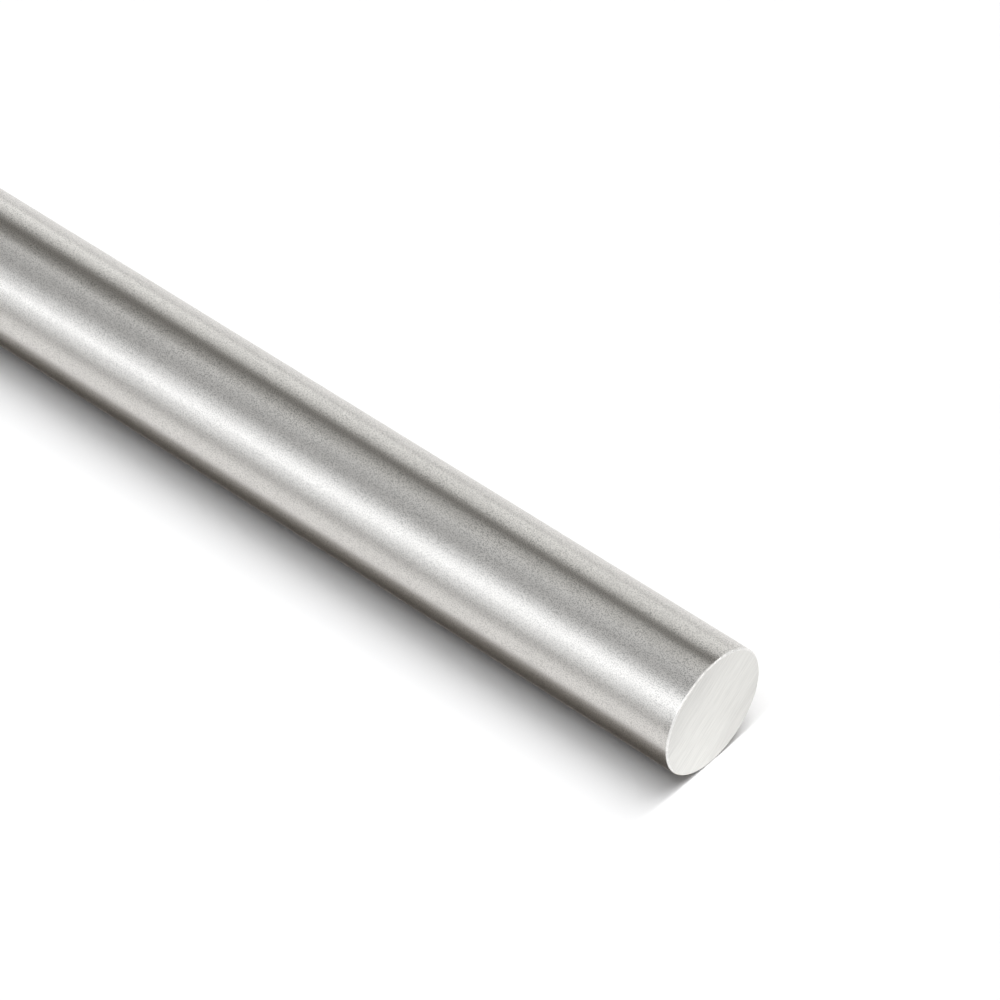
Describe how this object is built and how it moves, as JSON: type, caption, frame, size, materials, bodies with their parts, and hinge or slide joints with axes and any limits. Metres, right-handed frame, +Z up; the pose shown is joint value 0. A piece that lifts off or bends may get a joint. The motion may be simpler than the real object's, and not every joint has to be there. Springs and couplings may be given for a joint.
{
  "type": "round metal bar",
  "caption": "Solid round steel bar, a cut length of smooth satin stock with square ends and lightly broken edges, for machining, shafts, pins and framing.",
  "frame": {"origin": "centre of the bar: on its axis, halfway between the two end faces", "axes": "+X along the bar's axis, towards the end that the picture shows; +Z up, as the bar lies on a level floor"},
  "size_m": [0.3, 0.02, 0.02],
  "materials": {
    "satin_steel": "satin, fine even grain along the bar; cut ends with fine straight parallel lines and a bright broken edge"
  },
  "bodies": {
    "root": {"round_bar": "satin_steel"}
  },
  "joints": []
}
